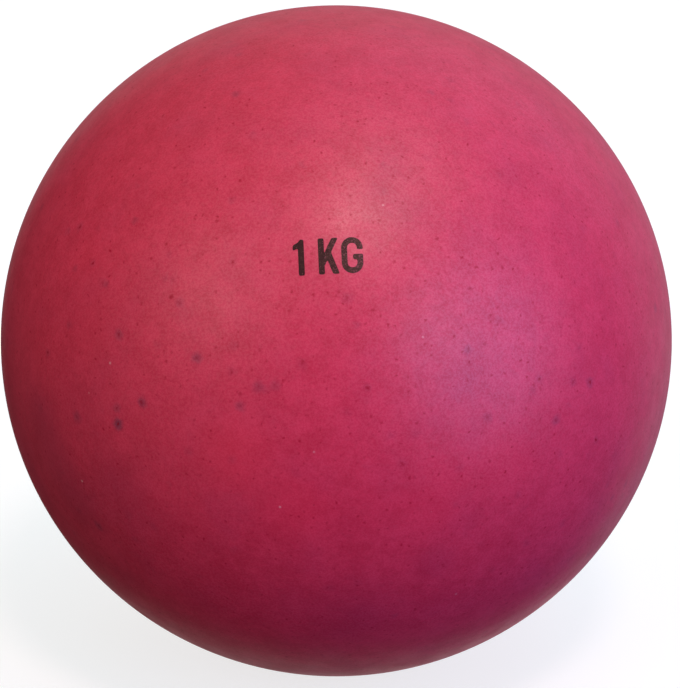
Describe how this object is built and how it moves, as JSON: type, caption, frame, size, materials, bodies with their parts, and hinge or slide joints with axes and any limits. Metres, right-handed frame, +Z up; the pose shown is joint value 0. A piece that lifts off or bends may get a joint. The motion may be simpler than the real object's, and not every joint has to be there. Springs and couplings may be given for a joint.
{
  "type": "shot put ball",
  "caption": "Soft vinyl practice ball for shot putting: a seamless round shell, packed with sand and closed by a flush filling plug.",
  "frame": {"origin": "centre of the ball", "axes": "+Z up, -Y towards the viewer on the side with the printed weight; the filling hole's axis leaves the ball at the back and below, at 45 degrees between +Y and -Z"},
  "size_m": [0.108, 0.108, 0.108],
  "materials": {
    "shell_vinyl": "satin",
    "plug_vinyl": "satin",
    "dry_sand": "matte",
    "mark_ink": "satin"
  },
  "bodies": {
    "root": {"shell": "shell_vinyl", "filling_plug": "plug_vinyl", "sand_ballast": "dry_sand"}
  },
  "joints": []
}
